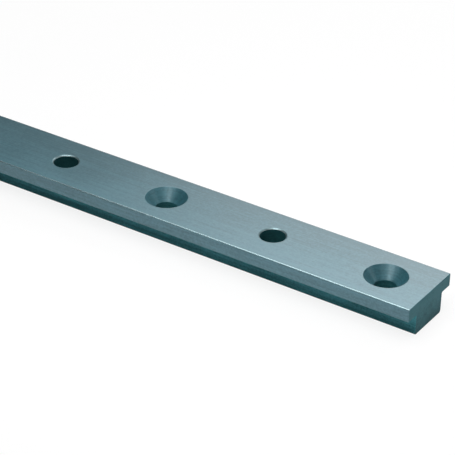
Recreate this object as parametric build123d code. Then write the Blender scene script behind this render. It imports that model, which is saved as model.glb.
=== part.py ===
from build123d import *
import os

# A stock length of T-track for a sailing boat's deck: one aluminium extrusion, drilled along its
# centre line and sawn to length. Sizes are in millimetres. X runs along the track, Y across it
# and Z up from the deck. The origin is at the middle of the flat base.

# Extruded section
track_length = 609.6
flange_width = 31.75
flange_thickness = 5.5
stem_width = 19.85
stem_height = 8.8
flange_top_radius = 0.35
flange_lip_radius = 0.3
throat_radius = 0.4
stem_foot_radius = 1.0

# One row of holes, counted from the +X end: a screw hole first, then stop holes and screw holes
# by turns
hole_pitch = 50.8
first_hole_from_end = 19.05
least_end_wall = 3.0

# Countersunk holes for flat-head deck screws
screw_hole_diameter = 9.0
countersink_diameter = 17.4
countersink_angle = 82.0

# Plain holes for the plunger pin of a sliding car
stop_hole_diameter = 10.3
stop_rim_chamfer = 0.5

# Sharp edge taken off both sawn ends
end_chamfer = 0.2

track_height = stem_height + flange_thickness
drill_depth = 2 * track_height
least_size = 0.001


def both_corners(outline, side, height):
    """The left and right corners of the outline that stand this far out and this high."""
    place = Vector(side, height)
    return outline.vertices().filter_by(
        lambda corner: (Vector(abs(corner.X), corner.Y) - place).length < least_size
    )


def t_outline():
    """The extruded T, its foot on the deck, with every long edge rounded as the die leaves it."""
    standing = (Align.CENTER, Align.MIN)
    with BuildSketch(Plane.YZ.offset(-track_length / 2)) as outline:
        Rectangle(stem_width, track_height, align=standing)
        with Locations((0, stem_height)):
            Rectangle(flange_width, flange_thickness, align=standing)
        fillet(both_corners(outline, stem_width / 2, 0), stem_foot_radius)
        fillet(both_corners(outline, stem_width / 2, stem_height), throat_radius)
        fillet(both_corners(outline, flange_width / 2, stem_height), flange_lip_radius)
        fillet(both_corners(outline, flange_width / 2, track_height), flange_top_radius)
    return outline.sketch


def drilled_places():
    """Centres of all the holes on the top face, from the +X end to the last that fits whole."""
    last_reach = countersink_diameter / 2 + least_end_wall
    drilled_length = track_length - first_hole_from_end - last_reach
    hole_count = int(drilled_length // hole_pitch) + 1
    first_x = track_length / 2 - first_hole_from_end
    return [Pos(first_x - hole_pitch * number, 0, track_height) for number in range(hole_count)]


def screw_hole():
    """The cut for one deck screw: a bore right through, and the cone that its flat head fills."""
    return CounterSinkHole(
        radius=screw_hole_diameter / 2,
        counter_sink_radius=countersink_diameter / 2,
        counter_sink_angle=countersink_angle,
        depth=drill_depth,
    )


def stop_hole():
    """The cut for one stop: a plain bore right through, its rim broken so that the pin finds it."""
    stop_hole_radius = stop_hole_diameter / 2
    rim = Cone(stop_hole_radius, stop_hole_radius + stop_rim_chamfer, stop_rim_chamfer)
    return Hole(stop_hole_radius, depth=drill_depth) + Pos(0, 0, -stop_rim_chamfer / 2) * rim


def make_track():
    """Extrude the T, take the sharp edge off its ends, then drill the two kinds of hole by turns."""
    track = extrude(t_outline(), amount=track_length)
    # Started at the two top edges, the chamfer follows the rounded outline all the way round
    sawn_top_edges = track.edges().filter_by(Axis.Y).group_by(Axis.Z)[-1]
    track = chamfer(sawn_top_edges, end_chamfer)
    places = drilled_places()
    track -= [place * screw_hole() for place in places[0::2]]
    track -= [place * stop_hole() for place in places[1::2]]
    return track


os.makedirs("parts", exist_ok=True)
export_step(make_track(), "parts/track_rail.step")
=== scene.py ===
import math
import bmesh
import bpy
from mathutils import Matrix, Vector


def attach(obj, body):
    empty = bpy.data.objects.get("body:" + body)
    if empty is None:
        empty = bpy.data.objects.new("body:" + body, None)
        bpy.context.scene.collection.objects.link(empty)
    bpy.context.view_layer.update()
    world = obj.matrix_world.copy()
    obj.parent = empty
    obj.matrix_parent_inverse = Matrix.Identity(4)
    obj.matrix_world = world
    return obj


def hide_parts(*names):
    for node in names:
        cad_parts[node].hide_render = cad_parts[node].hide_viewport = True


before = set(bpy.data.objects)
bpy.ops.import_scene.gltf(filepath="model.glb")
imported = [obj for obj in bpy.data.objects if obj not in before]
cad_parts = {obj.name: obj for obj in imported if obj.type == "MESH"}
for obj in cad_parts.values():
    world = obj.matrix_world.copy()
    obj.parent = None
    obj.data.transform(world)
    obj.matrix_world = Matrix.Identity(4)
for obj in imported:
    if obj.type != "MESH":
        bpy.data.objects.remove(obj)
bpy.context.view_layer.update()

# The bar: one length of aluminium T-track, extruded, drilled and countersunk on its centre line,
# sawn square at both ends and then hard anodised. It stands on the flat foot of the T, and the
# sliding car runs on the flange above.

# The extruded section. All sizes of the bar are in millimetres, and MM makes metres of them
MM = 0.001
track_length = 609.6
flange_width = 31.75
flange_thickness = 5.5
stem_width = 19.85
stem_height = 8.8
track_height = stem_height + flange_thickness
flange_top_radius = 0.35
flange_lip_radius = 0.3
throat_radius = 0.4
stem_foot_radius = 1.0

# One row of holes: screw holes and stop holes by turns
hole_pitch = 50.8
first_hole_from_end = 19.05
least_end_wall = 3.0
screw_hole_radius = 4.5
countersink_radius = 8.7
countersink_half_angle = math.radians(41)
stop_hole_radius = 5.15
stop_rim_chamfer = 0.5

# Sharp edges taken off after sawing and drilling. A rim's edges are level and turn at least so far
end_edge_break = 0.22
rim_edge_break = 0.11
edge_break_steps = 3
least_rim_turn = math.radians(20)
level_within = 1e-6

# How finely the round forms are divided
steps_at_foot = 8
steps_in_throat = 4
steps_at_lip = 5
steps_at_top = 7
steps_round_hole = 96

# Of the top radius this share takes the light, metallic edge strip, partly a painted highlight, and of
# the lip's radius this share stays dull
bright_edge_share = 0.6
dull_lip_share = 1 / 3

# The finishes, in the order of the mesh's materials
STEM, LIP, TOP, BRIGHT_EDGE, SAWN, SUNK, DRILLED, REAMED, BROKEN = range(9)


def corner(y, z, radius, from_angle, turn, steps):
    """Points round one corner of the T, centred on (y, z), from one angle through a turn."""
    angles = [math.radians(from_angle + turn * i / steps) for i in range(steps + 1)]
    return [(y + radius * math.cos(a), z + radius * math.sin(a)) for a in angles]


def t_outline():
    """The outline of the T, from the right end of its flat foot round to the left end."""
    side, stem = flange_width / 2, stem_width / 2
    foot, throat, lip, top = stem_foot_radius, throat_radius, flange_lip_radius, flange_top_radius
    right = corner(stem - foot, foot, foot, -90, 90, steps_at_foot)
    right += corner(stem + throat, stem_height - throat, throat, 180, -90, steps_in_throat)
    right += corner(side - lip, stem_height + lip, lip, -90, 90, steps_at_lip)
    right += corner(side - top, track_height - top, top, 0, 90, steps_at_top)
    return right + [(-y, z) for y, z in reversed(right)]


def hole_profile(number):
    """A hole's wall from the foot to the top face, as (radius, height), and its two finishes."""
    if number % 2:
        bore, mouth, depth = stop_hole_radius, stop_hole_radius + stop_rim_chamfer, stop_rim_chamfer
        finishes = REAMED, BROKEN
    else:
        bore, mouth = screw_hole_radius, countersink_radius
        depth = (mouth - bore) / math.tan(countersink_half_angle)
        finishes = DRILLED, SUNK
    return [(bore, 0), (bore, track_height - depth), (mouth, track_height)], finishes


def ring(mesh, x, radius, z):
    """One circle of points about a hole's axis, the half on the +Y side first."""
    turns = [2 * math.pi * (i + 0.5) / steps_round_hole for i in range(steps_round_hole)]
    return [mesh.verts.new((x + radius * math.cos(t), radius * math.sin(t), z)) for t in turns]


def drill(mesh, x, number, near, far):
    """One hole, and the flat faces round it between the sections before and behind it."""
    profile, finishes = hole_profile(number)
    rings = [ring(mesh, x, radius, z) for radius, z in profile]
    for lower, upper, finish in zip(rings, rings[1:], finishes):
        for i in range(steps_round_hole):
            k = (i + 1) % steps_round_hole
            wall = mesh.faces.new((lower[k], lower[i], upper[i], upper[k]))
            wall.material_index = finish
    half = steps_round_hole // 2
    last = len(near) - 1
    for circle, right, left, finish in (
        (rings[-1], last // 2, last // 2 + 1, TOP),
        (rings[0], 0, last, STEM),
    ):
        plus_y, minus_y = circle[:half], circle[half:]
        # The +Y and -Y sides of the hole, then the strips before and behind it
        faces = (
            [near[right], far[right]] + plus_y[::-1],
            [far[left], near[left]] + minus_y[::-1],
            [near[left], near[right], plus_y[0], minus_y[-1]],
            [far[right], far[left], minus_y[0], plus_y[-1]],
        )
        for points in faces:
            mesh.faces.new(points).material_index = finish
    return rings


# The T is drawn at both ends and half-way between each two holes
outline = t_outline()
drilled = track_length - first_hole_from_end - countersink_radius - least_end_wall
hole_count = int(drilled // hole_pitch) + 1
first_x = track_length / 2 - first_hole_from_end
hole_places = [first_x - hole_pitch * i for i in range(hole_count)]
midways = [(a + b) / 2 for a, b in zip(hole_places, hole_places[1:])]
stations = [track_length / 2] + midways + [-track_length / 2]

bar = bmesh.new()
edge_break = bar.edges.layers.float.new("bevel_weight_edge")
sections = [[bar.verts.new((x, y, z)) for y, z in outline] for x in stations]
top_gap = len(outline) // 2 - 1
bright_edge_from = track_height - flange_top_radius * bright_edge_share
lip_from = stem_height + flange_lip_radius * dull_lip_share
rim_points = set()
for number, x in enumerate(hole_places):
    near, far = sections[number], sections[number + 1]
    for i in range(len(outline) - 1):
        if i != top_gap:
            strip = bar.faces.new((near[i], near[i + 1], far[i + 1], far[i]))
            low = min(outline[i][1], outline[i + 1][1])
            # The light, metallic strip on the top's edges is partly a painted highlight
            if low > bright_edge_from:
                strip.material_index = BRIGHT_EDGE
            elif low > lip_from:
                strip.material_index = LIP
    for circle in drill(bar, x, number, near, far):
        rim_points.update(circle)
sawn_faces = [bar.faces.new(sections[0]), bar.faces.new(sections[-1][::-1])]
bmesh.ops.recalc_face_normals(bar, faces=bar.faces)

for face in sawn_faces:
    face.material_index = SAWN
    for edge in face.edges:
        edge[edge_break] = 1.0
for edge in bar.edges:
    level = abs(edge.verts[0].co.z - edge.verts[1].co.z) < level_within
    if level and rim_points.issuperset(edge.verts) and edge.calc_face_angle(0) > least_rim_turn:
        edge[edge_break] = rim_edge_break / end_edge_break
for face in bar.faces:
    face.smooth = True
bmesh.ops.scale(bar, vec=(MM, MM, MM), verts=bar.verts)
track_mesh = bpy.data.meshes.new("track_bar")
bar.to_mesh(track_mesh)
bar.free()
track = bpy.data.objects.new("track_bar", track_mesh)
bpy.context.collection.objects.link(track)
broken = track.modifiers.new("sharp edges broken", "BEVEL")
broken.limit_method = "WEIGHT"
broken.width = end_edge_break * MM
broken.segments = edge_break_steps
flat = track.modifiers.new("flat faces stay flat", "WEIGHTED_NORMAL")
flat.mode = "FACE_AREA"


class Shade:
    """A socket in a tree of nodes. Arithmetic on it adds the Math nodes that work it out."""

    def __init__(self, tree, socket=None):
        self.tree = tree
        self.socket = socket

    def node(self, kind, settings=None, inputs=None, output=0):
        """Any node: its settings first, then a value or a link for each socket named."""
        made = self.tree.nodes.new(kind)
        for name, value in (settings or {}).items():
            setattr(made, name, value)
        for name, value in (inputs or {}).items():
            if isinstance(value, Shade):
                self.tree.links.new(value.socket, made.inputs[name])
            else:
                made.inputs[name].default_value = value
        return Shade(self.tree, made.outputs[output]) if made.outputs else None

    def maths(self, operation, first, second):
        return self.node("ShaderNodeMath", {"operation": operation}, {0: first, 1: second})

    def __add__(self, other):
        return self.maths("ADD", self, other)

    def __radd__(self, other):
        return self.maths("ADD", other, self)

    def __sub__(self, other):
        return self.maths("SUBTRACT", self, other)

    def __rsub__(self, other):
        return self.maths("SUBTRACT", other, self)

    def __mul__(self, other):
        return self.maths("MULTIPLY", self, other)

    def __rmul__(self, other):
        return self.maths("MULTIPLY", other, self)


def spread(place, stretch, detail=2.0, rough=0.5):
    """Noise centred on nought, its grain drawn out along the axis with the least stretch."""
    drawn = place.node("ShaderNodeVectorMath", {"operation": "MULTIPLY"}, {0: place, 1: stretch})
    value = place.node(
        "ShaderNodeTexNoise",
        None,
        {"Vector": drawn, "Scale": 1.0, "Detail": detail, "Roughness": rough},
    )
    return value - 0.5


def painted_shading_along(place, axis, middle, rate):
    """How much lighter the colour is painted here than at the middle, by its rate a millimetre on one
    axis: painted light and shade.
    """
    along = place.node("ShaderNodeSeparateXYZ", None, {0: place}, axis)
    return (along - middle) * rate


def drawn_lines(place):
    """The die's lines, which run the whole length of the bar."""
    fine = spread(place, (0.04, 1.4, 1.4), detail=3.0, rough=0.6)
    broad = spread(place, (0.01, 0.5, 0.5))
    return fine, broad


def top_lines_and_painted_light(place):
    """The die's lines on the top, with the top painted a shade lighter towards the front edge: painted
    light.
    """
    fine, broad = drawn_lines(place)
    # The top is painted lighter towards the front edge: painted light
    return fine, broad + painted_shading_along(place, "Y", middle=0.0, rate=-0.026)


def stem_lines_and_painted_shading(place):
    """The die's lines on the stem, with the stem painted lighter up under the lip and darker towards the
    foot: painted light and shade.
    """
    fine, broad = drawn_lines(place)
    # The stem is painted lighter up under the lip and darker towards the foot: painted light and shade
    return fine, broad + painted_shading_along(place, "Z", middle=stem_height / 2, rate=0.12)


def saw_arcs_and_painted_shading(place):
    """The arcs that the circular saw leaves, its centre far below the bar to one side, and the end
    painted darker towards the foot: painted shade.
    """
    saw_centre = (0, 90, -150)
    below = place.node("ShaderNodeVectorMath", {"operation": "SUBTRACT"}, {0: place, 1: saw_centre})
    flat = below.node("ShaderNodeVectorMath", {"operation": "MULTIPLY"}, {0: below, 1: (0, 1, 1)})
    reach = flat.node("ShaderNodeVectorMath", {"operation": "LENGTH"}, {0: flat}, output="Value")
    across = reach.node("ShaderNodeCombineXYZ", None, {"X": reach})
    broad = spread(place, (0.3, 0.3, 0.3))
    # The end is painted darker towards the foot and lighter up top: painted shade and light
    broad += painted_shading_along(place, "Z", middle=stem_height / 2, rate=0.06)
    fine = spread(across, (2.4, 0, 0), detail=3.0, rough=0.6)
    return fine, broad


def turned_rings(place):
    """The rings that drill and countersink leave round a hole's wall."""
    fine = spread(place, (0.03, 0.03, 5.0), detail=2.0, rough=0.6)
    broad = spread(place, (0.02, 0.02, 1.1))
    return fine, broad


# What the oxide film is like everywhere, and how deep the tool's marks are in it, in millimetres
oxide_ior = 1.5
gloss_roughness = 0.3
relief_depth = 0.01


def anodised(name, marks, film, metal, roughness, shine, gloss, grain=1.0):
    """Hard-anodised aluminium: a grey-blue oxide film that keeps the marks of the tool below it.

    marks works out the tool's fine and broad marks from the place in millimetres, and film is the
    film's two shades. metal is how far the metal shows through it, shine how much light its face
    throws back, gloss how far it is polished, and grain how strong the marks are.
    """
    material = bpy.data.materials.new(name)
    material.use_nodes = True
    tree = material.node_tree
    tree.nodes.clear()
    place = Shade(tree).node("ShaderNodeTexCoord", output="Object")
    place = place.node("ShaderNodeVectorMath", {"operation": "SCALE"}, {0: place, "Scale": 1 / MM})
    fine, broad = marks(place)
    cloud = spread(place, (0.05, 0.05, 0.05), detail=3.0)
    fine = fine * grain
    speck = spread(place, (1.1, 1.3, 1.3), detail=2.0) * grain
    # The marks show most in the film's tone, and a little in its roughness, gloss and relief
    tone = 0.5 + fine * 1.75 + broad * 1.1 + cloud * 0.8 + speck * 1.45
    colour = tone.node(
        "ShaderNodeMix",
        {"data_type": "RGBA", "clamp_factor": True},
        {"Factor": tone, 6: film[0], 7: film[1]},
        output=2,
    )
    dull = roughness + fine * 0.2 + cloud * 0.15 + speck * 0.1
    shining = gloss * (1 + fine * 0.5 + speck * 0.65)
    height = fine + speck * 0.3
    bump = height.node(
        "ShaderNodeBump",
        None,
        {"Strength": 1.0, "Distance": relief_depth * MM, "Height": height},
    )
    surface = place.node(
        "ShaderNodeBsdfPrincipled",
        None,
        {
            "Base Color": colour,
            "Metallic": metal,
            "Roughness": dull,
            "IOR": oxide_ior,
            "Specular IOR Level": shine,
            "Normal": bump,
            "Coat Weight": shining,
            "Coat Roughness": gloss_roughness,
            "Coat IOR": oxide_ior,
        },
    )
    surface.node("ShaderNodeOutputMaterial", None, {"Surface": surface})
    return material


# The foot, the sides of the stem and the undersides of the lips: dull, as they left the die
# Their film is painted lighter than the flange's: painted light that lifts the shade under the lips
stem_film_painted_light = ((0.033, 0.134, 0.154, 1), (0.072, 0.262, 0.298, 1))
drawn_stem = anodised(
    "drawn_stem", stem_lines_and_painted_shading, stem_film_painted_light, metal=0.0, roughness=0.6, shine=0.05, gloss=0.0
)

# The two edges of the flange and its top: smoother, and the top linished to a satin shine
flange_film = ((0.038, 0.118, 0.148, 1), (0.064, 0.184, 0.230, 1))
drawn_lip = anodised(
    "drawn_lip", drawn_lines, flange_film, metal=0.3, roughness=0.42, shine=0.5, gloss=0.6
)
linished_top = anodised(
    "linished_top", top_lines_and_painted_light, flange_film, metal=0.35, roughness=0.4, shine=1.0, gloss=1.0
)

# The top's two long edges: a light, metallic strip, partly a painted highlight and partly the lamps'
# real reflection in its metal
# These light shades are a painted highlight along the edges
edge_film_with_painted_highlight = ((0.30, 0.425, 0.445, 1), (0.40, 0.545, 0.565, 1))
edge_with_painted_highlight = anodised(
    "edge_with_painted_highlight", drawn_lines, edge_film_with_painted_highlight, metal=0.75, roughness=0.25, shine=0.5, gloss=0.0, grain=0.25
)

# The sawn ends: dull, and painted a shade darker than the stem: painted shade
sawn_film_painted_dark = ((0.029, 0.097, 0.112, 1), (0.055, 0.164, 0.189, 1))
sawn_end = anodised(
    "sawn_end", saw_arcs_and_painted_shading, sawn_film_painted_dark, metal=0.0, roughness=0.6, shine=0.08, gloss=0.0
)

# The screw holes: a turned cone with a soft shine, and the drilled bore below it, painted darker:
# painted shade in the bore
sunk_film = ((0.024, 0.100, 0.124, 1), (0.040, 0.156, 0.194, 1))
countersunk_hole = anodised(
    "countersunk_hole", turned_rings, sunk_film, metal=0.35, roughness=0.47, shine=0.6, gloss=0.4
)
# The bore is painted dark: painted shade inside the hole
bore_film_painted_dark = ((0.018, 0.082, 0.092, 1), (0.032, 0.140, 0.154, 1))
drilled_hole = anodised(
    "drilled_hole", turned_rings, bore_film_painted_dark, metal=0.0, roughness=0.5, shine=0.1, gloss=0.0
)

# The stop holes: a bore painted dark, painted shade in the deep hole, and a chamfered rim painted light,
# partly a painted highlight and partly its metal's real reflection
# The bore is painted dark: painted shade inside the hole
stop_bore_film_painted_dark = ((0.010, 0.052, 0.059, 1), (0.018, 0.089, 0.098, 1))
reamed_hole = anodised(
    "reamed_hole", turned_rings, stop_bore_film_painted_dark, metal=0.0, roughness=0.5, shine=0.1, gloss=0.0
)
# The chamfer is painted light: partly a painted highlight
rim_film_with_painted_highlight = ((0.18, 0.27, 0.29, 1), (0.25, 0.36, 0.38, 1))
rim_with_painted_highlight = anodised(
    "rim_with_painted_highlight", turned_rings, rim_film_with_painted_highlight, metal=0.6, roughness=0.3, shine=0.5, gloss=0.0, grain=0.4
)

for finish in (
    drawn_stem,
    drawn_lip,
    linished_top,
    edge_with_painted_highlight,
    sawn_end,
    countersunk_hole,
    drilled_hole,
    reamed_hole,
    rim_with_painted_highlight,
):
    track_mesh.materials.append(finish)

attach(track, "root")
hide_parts("track_rail")

# The floor: a plain pale sheet under the track, large enough to fill the picture. It is white
# where it is seen or mirrored, it keeps the soft shadow of the track, and from below it is clear.
floor_half = 6.0
floor_level = -0.02 * MM
sheet_reflectance = 0.9
sheet_roughness = 0.9
seen_white = 0.85
mirrored_white = 0.5
floor_mesh = bpy.data.meshes.new("floor")
floor_signs = (-1, -1), (1, -1), (1, 1), (-1, 1)
floor_corners = [(x * floor_half, y * floor_half, floor_level) for x, y in floor_signs]
floor_mesh.from_pydata(floor_corners, [], [(0, 1, 2, 3)])
floor = bpy.data.objects.new("floor", floor_mesh)
bpy.context.collection.objects.link(floor)
paper = bpy.data.materials.new("pale_floor")
paper.use_nodes = True
paper.node_tree.nodes.clear()
sheet = Shade(paper.node_tree)
seen = sheet.node("ShaderNodeLightPath", output="Is Camera Ray")
mirrored = sheet.node("ShaderNodeLightPath", output="Is Glossy Ray")
mirrored += sheet.node("ShaderNodeLightPath", output="Is Transmission Ray")
shown = seen * seen_white + mirrored * mirrored_white
pale = (sheet_reflectance, sheet_reflectance, sheet_reflectance, 1)
dull = {"Base Color": pale, "Roughness": sheet_roughness}
dull_sheet = sheet.node("ShaderNodeBsdfPrincipled", None, dull)
glow = sheet.node("ShaderNodeEmission", None, {"Color": (1, 1, 1, 1), "Strength": 1.0})
white = sheet.node("ShaderNodeMixShader", None, {"Fac": shown, 1: dull_sheet, 2: glow})
from_below = sheet.node("ShaderNodeNewGeometry", output="Backfacing")
clear = sheet.node("ShaderNodeBsdfTransparent")
one_sided = sheet.node("ShaderNodeMixShader", None, {"Fac": from_below, 1: white, 2: clear})
one_sided.node("ShaderNodeOutputMaterial", None, {"Surface": one_sided})
floor_mesh.materials.append(paper)

# The light: seven white soft boxes round the track, at distances in metres and powers in watts,
# and a dim even room that is only bright where the camera looks straight at it.


def soft_box(name, azimuth, elevation, away, width, height, power, aim_x, grid=180):
    """A white soft box at a bearing from the front, a height angle and a distance from aim_x."""
    turn, tilt = math.radians(azimuth), math.radians(elevation)
    towards = Vector((
        math.sin(turn) * math.cos(tilt),
        -math.cos(turn) * math.cos(tilt),
        math.sin(tilt),
    ))
    lamp = bpy.data.lights.new(name, "AREA")
    lamp.shape = "RECTANGLE"
    lamp.size = width
    lamp.size_y = height
    lamp.energy = power
    lamp.spread = math.radians(grid)
    box = bpy.data.objects.new(name, lamp)
    box.location = Vector((aim_x, 0, 0)) + towards * away
    box.rotation_euler = (-towards).to_track_quat("-Z", "Y").to_euler()
    bpy.context.collection.objects.link(box)


# Two boxes behind, which the satin top mirrors: it brightens towards the near end
soft_box("back_box", 187, 39, away=1.1, width=1.0, height=0.6, power=3.2, aim_x=0.2)
soft_box("back_right_box", 180, 39, away=1.1, width=0.7, height=0.6, power=1.4, aim_x=0.2)

# A long box high on the left, for the bright line along the front edge
soft_box("edge_box", 277.4, 65.1, away=0.83, width=0.87, height=0.27, power=2.65, aim_x=0.27)

# A small gridded box close in front, for the flange's front and the streaks in the countersinks
soft_box("front_box", -1, 57, away=0.42, width=0.2, height=0.15, power=0.078, aim_x=0.262, grid=60)

# A box overhead, which lights the floor round the near end and through it the stem and the end
soft_box("top_box", 0, 89, away=0.75, width=0.5, height=0.5, power=2.65, aim_x=0.34)

# Two small boxes on the right, for the sawn end and the left walls of the countersinks
soft_box("right_box", 60, 38, away=0.9, width=0.3, height=0.3, power=0.28, aim_x=0.2)
soft_box("rear_box", 126, 31, away=0.9, width=0.24, height=0.3, power=0.5, aim_x=0.2)

room_light = 0.05
seen_room = 0.9
world = bpy.data.worlds.new("studio")
bpy.context.scene.world = world
world.use_nodes = True
world.node_tree.nodes.clear()
room = Shade(world.node_tree)
strength = room_light + room.node("ShaderNodeLightPath", output="Is Camera Ray") * seen_room
walls = room.node("ShaderNodeBackground", None, {"Color": (1, 1, 1, 1), "Strength": strength})
walls.node("ShaderNodeOutputWorld", None, {"Surface": walls})

# The camera: a long lens from the right and in front, at the height that the photograph has.
# The middle of the near end's top stands right of the lens's axis, a little below it and far off,
# by seen_at, in widths of the flange.
picture_width = 455
focal_pixels = 1995.27
azimuth, elevation, roll = (math.radians(a) for a in (33.205, 30.598, 1.366))
seen_at = Vector((2.382, 0.751, 23.420)) * flange_width * MM
back = Vector((
    math.sin(azimuth) * math.cos(elevation),
    -math.cos(azimuth) * math.cos(elevation),
    math.sin(elevation),
))
level_right = Vector((0, 0, 1)).cross(back).normalized()
level_up = back.cross(level_right)
right = level_right * math.cos(roll) + level_up * math.sin(roll)
up = level_up * math.cos(roll) - level_right * math.sin(roll)
near_end = Vector((track_length / 2, 0, track_height)) * MM
lens = bpy.data.cameras.new("camera")
camera = bpy.data.objects.new("camera", lens)
bpy.context.collection.objects.link(camera)
bpy.context.scene.camera = camera
camera.matrix_world = Matrix((right, up, back)).transposed().to_4x4()
camera.matrix_world.translation = near_end - (right * seen_at.x - up * seen_at.y - back * seen_at.z)
lens.sensor_fit = "HORIZONTAL"
lens.sensor_width = 36
lens.lens = focal_pixels / picture_width * lens.sensor_width
lens.clip_start = 0.01
lens.clip_end = 50
bpy.context.scene.view_settings.view_transform = "Standard"
